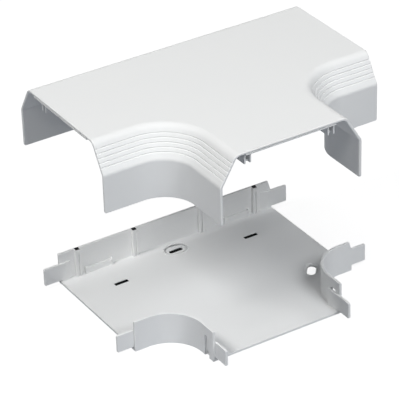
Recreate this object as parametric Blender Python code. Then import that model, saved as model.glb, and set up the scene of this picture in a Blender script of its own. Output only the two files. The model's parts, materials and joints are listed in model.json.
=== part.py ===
"""Raceway tee: a shallow tray that is fixed to the wall, and the cover that snaps over it.

The run goes along X, the branch leaves towards -Y and the straight back wall is at +Y.
The origin is where the two centre lines cross, on the underside of the base. +Z is away from the wall.
The cover is shown lifted straight off its base. It slides down along Z to its seat.
"""
import bmesh
import bpy
import numpy as np

MM = 0.001

# Cover: outer form
COVER_HALF_WIDTH = 70.0 * MM
COVER_HEIGHT = 61.7 * MM
RUN_HALF_LENGTH = 137.5 * MM
BRANCH_REACH = 141.0 * MM
SKIRT_HEIGHT = 36.0 * MM
PLATE_HALF_WIDTH = 54.5 * MM
NOTCH_RADIUS = 30.0 * MM
COVER_WALL = 2.5 * MM
PLATE_THICKNESS = 2.2 * MM
LOWER_CREASE_RADIUS = 6.0 * MM
UPPER_CREASE_RADIUS = 8.0 * MM
SKIRT_CORNER_RADIUS = 4.0 * MM

# Cover: grooves along the slope that faces the branch
GROOVE_COUNT = 5
GROOVE_WIDTH = 1.4 * MM
GROOVE_DEPTH = 0.6 * MM
GROOVE_TOP_MARGIN = 7.4 * MM
GROOVE_FOOT_MARGIN = 6.5 * MM

# Cover: lip and guide ribs under the plate at each opening
LIP_SETBACK = 0.6 * MM
LIP_THICKNESS = 1.6 * MM
LIP_DEPTH = 1.6 * MM
LIP_SIDE_MARGIN = 10.0 * MM
RIB_SETBACK = 6.0 * MM
RIB_LENGTH = 14.0 * MM
RIB_THICKNESS = 1.5 * MM
RIB_DEPTH = 11.3 * MM
RIB_SPACING = 5.4 * MM
RIB_SIDE_MARGIN_BRANCH = 13.5 * MM
RIB_SIDE_MARGIN_RUN = 21.5 * MM
RIB_TIE_SETBACK = 4.0 * MM
RIB_TIE_LENGTH = 4.0 * MM
RIB_TIE_HEIGHT = 1.6 * MM

# How the two pieces sit together
SIDE_CLEARANCE = 0.7 * MM
SEAT_GAP = 0.4 * MM
COVER_LIFT = 148.0 * MM

# Base: tray
BASE_WALL = 2.5 * MM
BASE_FLOOR = 2.5 * MM
BASE_WALL_HEIGHT = 30.4 * MM
BASE_RUN_SETBACK = 23.9 * MM
BASE_BRANCH_SETBACK = 23.4 * MM
WALL_END_SLANT = 2.8 * MM

# Base: tongues that enter the neighbouring lengths of raceway
TONGUE_REACH = 16.3 * MM
TONGUE_THICKNESS = 2.0 * MM
TONGUE_TOP = 21.0 * MM
TONGUE_FOOT_GAP = 1.5 * MM
TONGUE_TIP_RADIUS = 1.0 * MM
TONGUE_RELIEF = 1.0 * MM
RUN_TONGUE_ROOT = 8.8 * MM
BRANCH_TONGUE_ROOT = 15.4 * MM

# Base: windows in the outer wall beside the branch tongues
WINDOW_SETBACK = 6.4 * MM
WINDOW_LENGTH = 7.0 * MM
WINDOW_SLIT = 1.6 * MM

# Base: sockets and foot rails on the back wall
SOCKET_PLACES = (35.5 * MM, 95.0 * MM)
SOCKET_WIDTH = 4.8 * MM
SOCKET_DEPTH = 3.0 * MM
SOCKET_WALL = 0.8 * MM
SOCKET_INTO_WALL = 1.2 * MM
SOCKET_HOLE_DEPTH = 14.0 * MM
SOCKET_DROP = 0.4 * MM
RAIL_START = 60.3 * MM
RAIL_LENGTH = 27.7 * MM
RAIL_DEPTH = 2.2 * MM
RAIL_HEIGHT = 5.6 * MM
RAIL_STOP_LENGTH = 2.0 * MM
RAIL_STOP_DEPTH = 3.0 * MM
RAIL_STOP_RISE = 1.2 * MM

# Base: holes in the floor
SLOT_PLACE = (69.2 * MM, 31.4 * MM)
SLOT_LENGTH = 14.0 * MM
SLOT_WIDTH = 4.4 * MM
KEY_SLOT_BACK_OFFSET = 16.0 * MM
KEY_SLOT_LENGTH = 14.5 * MM
KEY_SLOT_WIDTH = 4.8 * MM
DISH_LENGTH = 22.6 * MM
DISH_WIDTH = 16.0 * MM
DISH_DEPTH = 1.3 * MM
DISH_SLOPE_RUN = 3.2 * MM
DISH_BEAD_WIDTH = 1.2 * MM
DISH_BEAD_HEIGHT = 0.5 * MM
OVAL_PLACE = (82.7 * MM, -47.8 * MM)
OVAL_ANGLE = np.radians(50.7)
OVAL_LENGTH = 16.0 * MM
OVAL_WIDTH = 8.0 * MM
OVAL_SINK_RUN = 2.2 * MM
OVAL_SINK_DEPTH = 0.9 * MM

# How finely the curves are divided, and how far added forms bite into what carries them
NOTCH_STEPS = 24
CREASE_STEPS = 5
CORNER_STEPS = 5
ROUND_END_STEPS = 12
BITE = 0.3 * MM
OVERCUT = 1.0 * MM

# Sizes that follow from the ones above
NOTCH_CENTRE = COVER_HALF_WIDTH + NOTCH_RADIUS
SLOPE_RUN = COVER_HALF_WIDTH - PLATE_HALF_WIDTH
SLOPE_RISE = COVER_HEIGHT - SKIRT_HEIGHT
PLATE_UNDERSIDE = COVER_HEIGHT - PLATE_THICKNESS
BASE_INSET = COVER_WALL + SIDE_CLEARANCE
BASE_HALF_WIDTH = COVER_HALF_WIDTH - BASE_INSET
BASE_RUN_END = RUN_HALF_LENGTH - BASE_RUN_SETBACK
BASE_BRANCH_END = BRANCH_REACH - BASE_BRANCH_SETBACK
WALL_INNER_FACE = BASE_HALF_WIDTH - BASE_WALL


def unit(vector):
    """The vector at length one."""
    return vector / np.linalg.norm(vector)


def rounded(corners, radii, closed=True):
    """An outline whose corners are arcs that touch both sides. A radius of zero keeps the corner."""
    corners = [np.array(corner, dtype=float) for corner in corners]
    outline = []
    for place, (corner, radius) in enumerate(zip(corners, radii)):
        at_end = place in (0, len(corners) - 1)
        if radius == 0.0 or (at_end and not closed):
            outline.append(corner)
            continue
        back = unit(corners[place - 1] - corner)
        ahead = unit(corners[(place + 1) % len(corners)] - corner)
        turn = np.pi - np.arccos(np.dot(back, ahead))
        reach = radius * np.tan(turn / 2)
        centre = corner + unit(back + ahead) * radius / np.cos(turn / 2)
        start = corner + back * reach - centre
        end = corner + ahead * reach - centre
        for share in np.linspace(0.0, 1.0, CREASE_STEPS + 1):
            spread = np.sin((1 - share) * turn) * start + np.sin(share * turn) * end
            outline.append(centre + spread / np.sin(turn))
    return np.array(outline)


def stadium(centre, length, width, angle=0.0):
    """A long hole's outline: two half circles joined by straight sides, turned by the angle."""
    radius = width / 2
    half_straight = length / 2 - radius
    sweep = np.linspace(-np.pi / 2, np.pi / 2, ROUND_END_STEPS + 1)
    cap = np.column_stack([half_straight + radius * np.cos(sweep), radius * np.sin(sweep)])
    outline = np.vstack([cap, -cap])
    turn = np.array([[np.cos(angle), np.sin(angle)], [-np.sin(angle), np.cos(angle)]])
    return outline @ turn + np.array(centre)


def at_height(outline, height):
    """The plan outline lifted to a height."""
    return np.column_stack([outline, np.full(len(outline), height)])


def loft(rings):
    """Walls between rings of equally many points, with a flat face over the first and last ring."""
    rings = np.array(rings)
    rows, columns = rings.shape[:2]
    index = np.arange(rows * columns).reshape(rows, columns)
    following = np.roll(index, -1, axis=1)
    walls = np.stack([index[:-1], following[:-1], following[1:], index[1:]], axis=-1)
    faces = walls.reshape(-1, 4).tolist() + [index[0].tolist(), index[-1].tolist()]
    return rings.reshape(-1, 3), faces


def prism(outline, low, high):
    """A plan outline carried straight up from one height to another."""
    return loft([at_height(outline, low), at_height(outline, high)])


def rectangle(low, high):
    """The four corners of a rectangle between two opposite corners."""
    return np.array([low, (high[0], low[1]), high, (low[0], high[1])])


def opening_frames(run_end, branch_end):
    """Each opening's middle, the way out of it and the way across it, for one piece."""
    return {
        "left": ((-run_end, 0.0), (-1.0, 0.0), (0.0, 1.0)),
        "right": ((run_end, 0.0), (1.0, 0.0), (0.0, 1.0)),
        "branch": ((0.0, -branch_end), (0.0, -1.0), (1.0, 0.0)),
    }


def upright(frame, outline, near, far):
    """A side view, as distance out of the opening and height, carried across it from near to far."""
    middle, outward, across = (np.array(item) for item in frame)
    rings = []
    for offset in (near, far):
        plan = middle + np.outer(outline[:, 0], outward) + offset * across
        rings.append(np.column_stack([plan, outline[:, 1]]))
    return loft(rings)


def new_object(name, parts, parent=None):
    """One object from several closed parts, with every face turned outward."""
    points = []
    faces = []
    for part_points, part_faces in parts:
        start = len(points)
        points.extend(part_points.tolist())
        faces.extend([[start + corner for corner in face] for face in part_faces])
    mesh = bpy.data.meshes.new(name)
    mesh.from_pydata(points, [], faces)
    body = bmesh.new()
    body.from_mesh(mesh)
    bmesh.ops.recalc_face_normals(body, faces=body.faces)
    body.to_mesh(mesh)
    body.free()
    piece = bpy.data.objects.new(name, mesh)
    bpy.context.scene.collection.objects.link(piece)
    piece.parent = parent
    return piece


def shape_with(piece, operation, name, parts):
    """Add the parts to the piece with UNION, or cut them from it with DIFFERENCE."""
    tool = new_object(name, parts, parent=piece)
    tool.hide_render = True
    tool.display_type = "WIRE"
    change = piece.modifiers.new(name, "BOOLEAN")
    change.solver = "EXACT"
    change.operation = operation
    change.object = tool


def notch_path(side, inset, run_end, branch_end, end_steps=(0.0,)):
    """From the run opening round the inner corner to the branch opening, on one side.

    The path lies inset inside the cover's outer face, so its arc has the notch's centre and the
    notch radius plus the inset. A point is set at each of end_steps from both openings.
    """
    half_width = COVER_HALF_WIDTH - inset
    radius = NOTCH_RADIUS + inset
    angles = np.linspace(0.0, np.pi / 2, NOTCH_STEPS + 1)
    start = [(run_end - step, -half_width) for step in end_steps]
    arc = np.column_stack([NOTCH_CENTRE - radius * np.sin(angles), radius * np.cos(angles) - NOTCH_CENTRE])
    end = [(half_width, step - branch_end) for step in reversed(end_steps)]
    return np.vstack([start, arc, end]) * (side, 1.0)


def back_path(inset, run_end, end_steps=(0.0,)):
    """Straight along the back from the left opening to the right one."""
    half_width = COVER_HALF_WIDTH - inset
    start = [(step - run_end, half_width) for step in end_steps]
    end = [(run_end - step, half_width) for step in reversed(end_steps)]
    return np.array(start + end)


def tee_outline(inset, run_end, branch_end):
    """The whole plan: back edge, left corner, branch and right corner."""
    left = notch_path(-1.0, inset, run_end, branch_end)
    right = notch_path(1.0, inset, run_end, branch_end)
    return np.vstack([back_path(inset, run_end)[::-1], left, right[::-1]])


def slope_directions():
    """Up along the cover's slope, and square to it into the wall, as inset and height."""
    along = unit(np.array([SLOPE_RUN, SLOPE_RISE]))
    inward = np.array([along[1], -along[0]])
    return along, inward


def outer_profile(grooved):
    """The cover's outside from the skirt's foot to the plate, as inset and height."""
    along, inward = slope_directions()
    crease = np.array([0.0, SKIRT_HEIGHT])
    corners = [np.array([0.0, 0.0]), crease]
    radii = [0.0, LOWER_CREASE_RADIUS]
    if grooved:
        slope = np.hypot(SLOPE_RUN, SLOPE_RISE)
        for centre in np.linspace(GROOVE_FOOT_MARGIN, slope - GROOVE_TOP_MARGIN, GROOVE_COUNT):
            bottom = crease + along * centre + inward * GROOVE_DEPTH
            corners.append(crease + along * (centre - GROOVE_WIDTH / 2))
            corners.append(bottom)
            corners.append(crease + along * (centre + GROOVE_WIDTH / 2))
            radii.extend([0.0, 0.0, 0.0])
    corners.append(np.array([SLOPE_RUN, COVER_HEIGHT]))
    corners.append(np.array([SLOPE_RUN + UPPER_CREASE_RADIUS, COVER_HEIGHT]))
    radii.extend([UPPER_CREASE_RADIUS, 0.0])
    return rounded(corners, radii, closed=False)


def inner_profile():
    """The cover's inside, one wall thickness in from the skirt and from the slope."""
    along, inward = slope_directions()
    on_slope = np.array([0.0, SKIRT_HEIGHT]) + inward * COVER_WALL
    low = on_slope + along * (COVER_WALL - on_slope[0]) / along[0]
    high = on_slope + along * (PLATE_UNDERSIDE - on_slope[1]) / along[1]
    corners = [(COVER_WALL, 0.0), low, high, (SLOPE_RUN + UPPER_CREASE_RADIUS, PLATE_UNDERSIDE)]
    radii = [0.0, LOWER_CREASE_RADIUS - COVER_WALL, UPPER_CREASE_RADIUS - COVER_WALL, 0.0]
    return rounded(corners, radii, closed=False)


def cover_shell():
    """Skirts, slopes and plate as one thin closed shell that is open below and at three ends."""
    sweep = np.linspace(0.0, np.pi / 2, CORNER_STEPS + 1)
    end_steps = tuple(SKIRT_CORNER_RADIUS * (1 - np.cos(sweep)))
    end_rise = SKIRT_CORNER_RADIUS * (1 - np.sin(sweep))
    edges = {
        "back": lambda inset: back_path(inset, RUN_HALF_LENGTH, end_steps),
        "left": lambda inset: notch_path(-1.0, inset, RUN_HALF_LENGTH, BRANCH_REACH, end_steps),
        "right": lambda inset: notch_path(1.0, inset, RUN_HALF_LENGTH, BRANCH_REACH, end_steps),
    }
    points = []
    faces = []
    skins = {}

    def add_skin(edge, face_side, profile):
        """One face of one edge: its profile carried along its path, with the skirt's corners cut round."""
        columns = []
        for place, (inset, height) in enumerate(profile):
            column = at_height(edges[edge](inset), height)
            if place == 0:
                column[: len(end_rise), 2] += end_rise
                column[-len(end_rise):, 2] += end_rise[::-1]
            columns.append(column)
        grid = np.stack(columns, axis=1)
        index = np.arange(grid.shape[0] * grid.shape[1]).reshape(grid.shape[:2]) + len(points)
        points.extend(grid.reshape(-1, 3).tolist())
        quads = np.stack([index[:-1, :-1], index[1:, :-1], index[1:, 1:], index[:-1, 1:]], axis=-1)
        faces.extend(quads.reshape(-1, 4).tolist())
        skins[edge, face_side] = index

    for edge in edges:
        add_skin(edge, "outside", outer_profile(grooved=edge != "back"))
        add_skin(edge, "inside", inner_profile())
        outer_foot = skins[edge, "outside"][:, 0]
        inner_foot = skins[edge, "inside"][:, 0]
        rim = np.stack([outer_foot[:-1], outer_foot[1:], inner_foot[1:], inner_foot[:-1]], axis=-1)
        faces.extend(rim.tolist())

    for face_side in ("outside", "inside"):
        plate = [skins["back", face_side][:, -1], skins["right", face_side][:, -1]]
        plate.append(skins["left", face_side][::-1, -1])
        faces.append(np.concatenate(plate).tolist())

    for first, first_row, second, second_row in (
        ("back", 0, "left", 0),
        ("back", -1, "right", 0),
        ("left", -1, "right", -1),
    ):
        end_face = [skins[first, "outside"][first_row], skins[second, "outside"][second_row][::-1]]
        end_face.append(skins[second, "inside"][second_row])
        end_face.append(skins[first, "inside"][first_row][::-1])
        faces.append(np.concatenate(end_face).tolist())
    return np.array(points), faces


def rib_pairs():
    """The opening's frame and the place across it of each pair of ribs: two at the branch, one by the back."""
    frames = opening_frames(RUN_HALF_LENGTH, BRANCH_REACH)
    from_middle = PLATE_HALF_WIDTH - RIB_SIDE_MARGIN_BRANCH
    pairs = [(frames["branch"], -from_middle), (frames["branch"], from_middle)]
    from_middle = PLATE_HALF_WIDTH - RIB_SIDE_MARGIN_RUN
    return pairs + [(frames["left"], from_middle), (frames["right"], from_middle)]


def cover_lips():
    """A low lip under the plate's edge at each opening."""
    half = PLATE_HALF_WIDTH - LIP_SIDE_MARGIN
    low = (-LIP_SETBACK - LIP_THICKNESS, PLATE_UNDERSIDE - LIP_DEPTH)
    lip = rectangle(low, (-LIP_SETBACK, PLATE_UNDERSIDE + BITE))
    frames = opening_frames(RUN_HALF_LENGTH, BRANCH_REACH)
    return [upright(frame, lip, -half, half) for frame in frames.values()]


def cover_ribs():
    """Two upright ribs in each pair, hanging from the plate and running in from the opening."""
    low = (-RIB_SETBACK - RIB_LENGTH, PLATE_UNDERSIDE - RIB_DEPTH)
    rib = rectangle(low, (-RIB_SETBACK, PLATE_UNDERSIDE + BITE))
    inner_edge = RIB_SPACING / 2 - RIB_THICKNESS / 2
    outer_edge = RIB_SPACING / 2 + RIB_THICKNESS / 2
    parts = []
    for frame, middle in rib_pairs():
        parts.append(upright(frame, rib, middle - outer_edge, middle - inner_edge))
        parts.append(upright(frame, rib, middle + inner_edge, middle + outer_edge))
    return parts


def cover_rib_ties():
    """The short bar that joins the two ribs of each pair at their foot."""
    foot = PLATE_UNDERSIDE - RIB_DEPTH
    end = RIB_SETBACK + RIB_TIE_SETBACK
    tie = rectangle((-end - RIB_TIE_LENGTH, foot), (-end, foot + RIB_TIE_HEIGHT))
    half = RIB_SPACING / 2 - RIB_THICKNESS / 2 + BITE
    return [upright(frame, tie, middle - half, middle + half) for frame, middle in rib_pairs()]


def base_tongues():
    """Six plates just inside the walls' ends, standing on the floor and reaching out of the openings."""
    parts = []
    foot = BASE_FLOOR + TONGUE_FOOT_GAP
    for name, frame in opening_frames(BASE_RUN_END, BASE_BRANCH_END).items():
        root = BRANCH_TONGUE_ROOT if name == "branch" else RUN_TONGUE_ROOT
        top = TONGUE_TOP - WINDOW_SLIT if name == "branch" else TONGUE_TOP
        corners = [
            (-root, BASE_FLOOR - BITE),
            (-TONGUE_RELIEF, BASE_FLOOR - BITE),
            (-TONGUE_RELIEF, foot),
            (TONGUE_REACH, foot),
            (TONGUE_REACH, top),
            (-root, top),
        ]
        outline = rounded(corners, [0.0, 0.0, 0.0, TONGUE_TIP_RADIUS, TONGUE_TIP_RADIUS, 0.0])
        for side in (-1.0, 1.0):
            near = side * (WALL_INNER_FACE + BITE)
            far = side * (WALL_INNER_FACE - TONGUE_THICKNESS)
            parts.append(upright(frame, outline, near, far))
    return parts


def base_wall_end_cuts():
    """Wedges that slant the walls' ends back above the tongues."""
    parts = []
    rate = WALL_END_SLANT / (BASE_WALL_HEIGHT - TONGUE_TOP)
    outline = np.array([
        (rate * OVERCUT, TONGUE_TOP - OVERCUT),
        (-WALL_END_SLANT - rate * OVERCUT, BASE_WALL_HEIGHT + OVERCUT),
        (WALL_END_SLANT, BASE_WALL_HEIGHT + OVERCUT),
        (WALL_END_SLANT, TONGUE_TOP - OVERCUT),
    ])
    reach = BASE_HALF_WIDTH + OVERCUT
    for frame in opening_frames(BASE_RUN_END, BASE_BRANCH_END).values():
        parts.append(upright(frame, outline, -reach, reach))
    return parts


def base_windows():
    """Openings through the outer wall, down to its foot, beside the roots of the branch tongues."""
    outline = rectangle((-WINDOW_SETBACK - WINDOW_LENGTH, -OVERCUT), (-WINDOW_SETBACK, TONGUE_TOP))
    frame = opening_frames(BASE_RUN_END, BASE_BRANCH_END)["branch"]
    parts = []
    for side in (-1.0, 1.0):
        near = side * (WALL_INNER_FACE - OVERCUT)
        far = side * (BASE_HALF_WIDTH + OVERCUT)
        parts.append(upright(frame, outline, near, far))
    return parts


def socket_centres():
    """Where the sockets stand along the back wall."""
    return [side * place for side in (-1.0, 1.0) for place in SOCKET_PLACES]


def base_sockets():
    """Square columns on the inside of the back wall, a little lower than its top."""
    low = (-SOCKET_WIDTH / 2, WALL_INNER_FACE - SOCKET_DEPTH)
    plan = rectangle(low, (SOCKET_WIDTH / 2, WALL_INNER_FACE + BITE))
    top = BASE_WALL_HEIGHT - SOCKET_DROP
    return [prism(plan + (centre, 0.0), BASE_FLOOR - BITE, top) for centre in socket_centres()]


def base_socket_holes():
    """The square hole down each column, which also takes a little from the back wall behind it."""
    half = SOCKET_WIDTH / 2 - SOCKET_WALL
    low = (-half, WALL_INNER_FACE - SOCKET_DEPTH + SOCKET_WALL)
    plan = rectangle(low, (half, WALL_INNER_FACE + SOCKET_INTO_WALL))
    foot = BASE_WALL_HEIGHT - SOCKET_HOLE_DEPTH
    top = BASE_WALL_HEIGHT + OVERCUT
    return [prism(plan + (centre, 0.0), foot, top) for centre in socket_centres()]


def base_rails():
    """Low rails along the foot of the back wall."""
    near = WALL_INNER_FACE - RAIL_DEPTH
    plan = rectangle((RAIL_START, near), (RAIL_START + RAIL_LENGTH, WALL_INNER_FACE + BITE))
    top = BASE_FLOOR + RAIL_HEIGHT
    return [prism(plan * (side, 1.0), BASE_FLOOR - BITE, top) for side in (-1.0, 1.0)]


def base_rail_stops():
    """The deeper and taller blocks at both ends of each rail."""
    parts = []
    near = WALL_INNER_FACE - RAIL_STOP_DEPTH
    top = BASE_FLOOR + RAIL_HEIGHT + RAIL_STOP_RISE
    for start in (RAIL_START - BITE, RAIL_START + RAIL_LENGTH - RAIL_STOP_LENGTH + BITE):
        plan = rectangle((start, near), (start + RAIL_STOP_LENGTH, WALL_INNER_FACE + BITE))
        for side in (-1.0, 1.0):
            parts.append(prism(plan * (side, 1.0), BASE_FLOOR - BITE, top))
    return parts


def sunk_hole(centre, length, width, angle, slope_run, depth):
    """A tapered seat round a long hole: its sides widen by slope_run over its depth, up to the floor."""
    foot = stadium(centre, length - 2 * slope_run, width - 2 * slope_run, angle)
    mouth = stadium(centre, length, width, angle)
    top = BASE_FLOOR + DISH_BEAD_HEIGHT + OVERCUT
    return loft([at_height(foot, BASE_FLOOR - depth), at_height(mouth, BASE_FLOOR), at_height(mouth, top)])


def base_dish_bead():
    """The low raised ring round the middle slot's dish."""
    length = DISH_LENGTH + 2 * DISH_BEAD_WIDTH
    width = DISH_WIDTH + 2 * DISH_BEAD_WIDTH
    outline = stadium(key_slot_place(), length, width)
    return [prism(outline, BASE_FLOOR - BITE, BASE_FLOOR + DISH_BEAD_HEIGHT)]


def key_slot_place():
    """The middle of the slot near the back wall."""
    return (0.0, BASE_HALF_WIDTH - KEY_SLOT_BACK_OFFSET)


def base_holes():
    """Straight cuts through the floor: two fixing slots, the middle slot and two slanted long holes."""
    key_slot = stadium(key_slot_place(), KEY_SLOT_LENGTH, KEY_SLOT_WIDTH)
    parts = [prism(key_slot, -OVERCUT, BASE_FLOOR + OVERCUT)]
    for side in (-1.0, 1.0):
        centre = np.array(SLOT_PLACE) * (side, 1.0)
        half = np.array([SLOT_LENGTH, SLOT_WIDTH]) / 2
        parts.append(prism(rectangle(centre - half, centre + half), -OVERCUT, BASE_FLOOR + OVERCUT))
        centre = np.array(OVAL_PLACE) * (side, 1.0)
        outline = stadium(centre, OVAL_LENGTH, OVAL_WIDTH, side * OVAL_ANGLE)
        parts.append(prism(outline, -OVERCUT, BASE_FLOOR + OVERCUT))
    return parts


def base_hole_seats():
    """The shallow tapered seats round the middle slot and round the slanted long holes."""
    parts = [sunk_hole(key_slot_place(), DISH_LENGTH, DISH_WIDTH, 0.0, DISH_SLOPE_RUN, DISH_DEPTH)]
    for side in (-1.0, 1.0):
        centre = np.array(OVAL_PLACE) * (side, 1.0)
        length = OVAL_LENGTH + 2 * OVAL_SINK_RUN
        width = OVAL_WIDTH + 2 * OVAL_SINK_RUN
        parts.append(sunk_hole(centre, length, width, side * OVAL_ANGLE, OVAL_SINK_RUN, OVAL_SINK_DEPTH))
    return parts


def plastic(name, colour, roughness):
    """White rigid plastic."""
    material = bpy.data.materials.new(name)
    material.use_nodes = True
    shader = material.node_tree.nodes["Principled BSDF"]
    shader.inputs["Base Color"].default_value = (*colour, 1.0)
    shader.inputs["Roughness"].default_value = roughness
    shader.inputs["Metallic"].default_value = 0.0
    return material


def finish(piece, material):
    """Give the piece its material and shade its curves smooth."""
    piece.data.materials.append(material)
    piece.data.shade_smooth()
    piece.data.set_sharp_from_angle(angle=np.radians(12.0))


def build_base():
    """The tray: solid tee less its hollow, then tongues, sockets, rails and holes."""
    outline = tee_outline(BASE_INSET, BASE_RUN_END, BASE_BRANCH_END)
    base = new_object("base", [prism(outline, 0.0, BASE_WALL_HEIGHT)])
    hollow = tee_outline(BASE_INSET + BASE_WALL, BASE_RUN_END + OVERCUT, BASE_BRANCH_END + OVERCUT)
    hollow_part = prism(hollow, BASE_FLOOR, BASE_WALL_HEIGHT + OVERCUT)
    shape_with(base, "DIFFERENCE", "base_hollow", [hollow_part])
    shape_with(base, "DIFFERENCE", "base_wall_end_cuts", base_wall_end_cuts())
    shape_with(base, "DIFFERENCE", "base_windows", base_windows())
    shape_with(base, "UNION", "base_tongues", base_tongues())
    shape_with(base, "UNION", "base_sockets", base_sockets())
    shape_with(base, "DIFFERENCE", "base_socket_holes", base_socket_holes())
    shape_with(base, "UNION", "base_rails", base_rails())
    shape_with(base, "UNION", "base_rail_stops", base_rail_stops())
    shape_with(base, "UNION", "base_dish_bead", base_dish_bead())
    shape_with(base, "DIFFERENCE", "base_hole_seats", base_hole_seats())
    shape_with(base, "DIFFERENCE", "base_holes", base_holes())
    finish(base, plastic("base_plastic", (0.84, 0.84, 0.83), 0.45))
    return base


def build_cover():
    """The cover, with its origin on the line that it slides along and its skirt's foot at zero height."""
    cover = new_object("cover", [cover_shell()])
    cover.location = (0.0, 0.0, SEAT_GAP + COVER_LIFT)
    shape_with(cover, "UNION", "cover_lips", cover_lips())
    shape_with(cover, "UNION", "cover_ribs", cover_ribs())
    shape_with(cover, "UNION", "cover_rib_ties", cover_rib_ties())
    finish(cover, plastic("cover_plastic", (0.86, 0.86, 0.85), 0.4))
    return cover


for leftover in list(bpy.data.objects):
    bpy.data.objects.remove(leftover, do_unlink=True)
build_base()
build_cover()
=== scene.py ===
"""The looks of the raceway tee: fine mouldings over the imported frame, their finish, the stage and the camera.

The run goes along X, the branch leaves towards -Y and +Z points away from the wall it is fixed to.
"""
import json

import bmesh
import bpy
import numpy as np
from mathutils import Matrix, Vector

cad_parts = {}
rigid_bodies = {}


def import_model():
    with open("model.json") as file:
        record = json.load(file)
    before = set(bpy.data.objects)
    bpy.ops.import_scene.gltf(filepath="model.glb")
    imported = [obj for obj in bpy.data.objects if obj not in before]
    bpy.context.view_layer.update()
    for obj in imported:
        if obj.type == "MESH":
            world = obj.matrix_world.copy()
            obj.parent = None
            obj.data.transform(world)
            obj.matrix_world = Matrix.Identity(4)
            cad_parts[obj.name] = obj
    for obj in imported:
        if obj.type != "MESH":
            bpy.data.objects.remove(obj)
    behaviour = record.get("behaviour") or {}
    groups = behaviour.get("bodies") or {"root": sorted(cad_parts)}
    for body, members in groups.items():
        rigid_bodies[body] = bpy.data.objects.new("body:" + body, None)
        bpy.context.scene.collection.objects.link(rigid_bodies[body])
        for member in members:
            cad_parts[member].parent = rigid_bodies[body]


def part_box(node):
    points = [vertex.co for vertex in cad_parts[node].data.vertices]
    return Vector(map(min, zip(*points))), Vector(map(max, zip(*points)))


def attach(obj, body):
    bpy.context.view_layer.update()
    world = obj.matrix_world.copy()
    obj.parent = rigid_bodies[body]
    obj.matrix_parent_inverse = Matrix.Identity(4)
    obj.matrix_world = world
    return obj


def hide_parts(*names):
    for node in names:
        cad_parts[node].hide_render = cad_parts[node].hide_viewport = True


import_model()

MM = 0.001
QUARTER = np.pi / 2
TINY = 1e-7
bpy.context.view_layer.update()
base_low, base_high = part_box("base")
cover_low, cover_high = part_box("cover")

# Cover, from its box in the frame
COVER_FOOT = cover_low.z
COVER_HEIGHT = cover_high.z - cover_low.z
COVER_HALF_WIDTH = cover_high.y
RUN_HALF_LENGTH = cover_high.x
BRANCH_REACH = -cover_low.y

# Cover, sizes of its own
SKIRT_HEIGHT = 36.0 * MM
PLATE_HALF_WIDTH = 54.5 * MM
NOTCH_RADIUS = 30.0 * MM
COVER_WALL = 2.5 * MM
PLATE_THICKNESS = 2.2 * MM
LOWER_CREASE_RADIUS = 6.0 * MM
UPPER_CREASE_RADIUS = 8.0 * MM
SKIRT_CORNER_RADIUS = 1.6 * MM
END_ROUND = 0.8 * MM
FOOT_ROUND = 0.8 * MM
GROOVE_COUNT = 5
GROOVE_WIDTH = 1.4 * MM
GROOVE_DEPTH = 0.6 * MM
GROOVE_TOP_MARGIN = 7.4 * MM
GROOVE_FOOT_MARGIN = 6.5 * MM
LIP_SETBACK = 0.6 * MM
LIP_THICKNESS = 1.6 * MM
LIP_DEPTH = 1.6 * MM
LIP_SIDE_MARGIN = 10.0 * MM
LIP_BEAD_SETBACK = 0.15 * MM
LIP_GROOVE_HEIGHT = 0.7 * MM
LIP_GROOVE_DEPTH = 1.3 * MM
RIB_SETBACK = 3.2 * MM
RIB_LENGTH = 16.8 * MM
RIB_THICKNESS = 1.5 * MM
RIB_DEPTH = 11.3 * MM
RIB_SPACING = 5.4 * MM
RIB_SIDE_MARGIN_BRANCH = 13.5 * MM
RIB_SIDE_MARGIN_RUN = 21.5 * MM
RIB_TIE_SETBACK = 4.0 * MM
RIB_TIE_LENGTH = 4.0 * MM
RIB_TIE_HEIGHT = 1.6 * MM

# Base, from its box in the frame
BASE_WALL_HEIGHT = base_high.z
BASE_HALF_WIDTH = base_high.y

# Base, sizes of its own
BASE_WALL = 2.5 * MM
BASE_FLOOR = 2.5 * MM
WALL_END_SLANT = 2.8 * MM
TONGUE_REACH = 16.3 * MM
TONGUE_THICKNESS = 2.0 * MM
TONGUE_TOP = 21.0 * MM
TONGUE_FOOT_GAP = 1.5 * MM
TONGUE_TIP_RADIUS = 1.0 * MM
TONGUE_RELIEF = 1.0 * MM
RUN_TONGUE_ROOT = 5.8 * MM
RUN_TONGUE_RAMP = 6.0 * MM
TONGUE_RAMP_SINK = 0.02 * MM
BRANCH_TONGUE_ROOT = 15.4 * MM
WINDOW_SETBACK = 6.4 * MM
WINDOW_LENGTH = 7.0 * MM
WINDOW_SLIT = 1.6 * MM
SOCKET_PLACES = (35.5 * MM, 95.0 * MM)
SOCKET_WIDTH = 5.8 * MM
SOCKET_DEPTH = 3.0 * MM
SOCKET_WALL = 0.9 * MM
SOCKET_INTO_WALL = 1.6 * MM
SOCKET_GROOVE_WIDTH = 1.6 * MM
SOCKET_GROOVE_DEPTH = 1.2 * MM
SOCKET_CUP_HEIGHT = 4.4 * MM
SOCKET_HOLE_DEPTH = 3.6 * MM
SOCKET_DROP = 0.4 * MM
# How far the painted shade in the sockets reaches past the holes' walls
SOCKET_PAINTED_SHADE_MARGIN = 0.1 * MM
RAIL_START = 60.3 * MM
RAIL_LENGTH = 27.7 * MM
RAIL_DEPTH = 2.2 * MM
RAIL_HEIGHT = 5.6 * MM
RAIL_STOP_LENGTH = 2.0 * MM
RAIL_STOP_DEPTH = 3.0 * MM
RAIL_STOP_RISE = 1.2 * MM
SLOT_PLACE = (69.2 * MM, 31.4 * MM)
SLOT_LENGTH = 14.0 * MM
SLOT_WIDTH = 4.4 * MM
SLOT_EDGE = 0.7 * MM
SLOT_RELIEF = 3.0 * MM
KEY_SLOT_BACK_OFFSET = 16.0 * MM
KEY_SLOT_LENGTH = 14.5 * MM
KEY_SLOT_WIDTH = 4.8 * MM
DISH_LENGTH = 22.6 * MM
DISH_WIDTH = 16.0 * MM
DISH_DEPTH = 1.3 * MM
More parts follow.
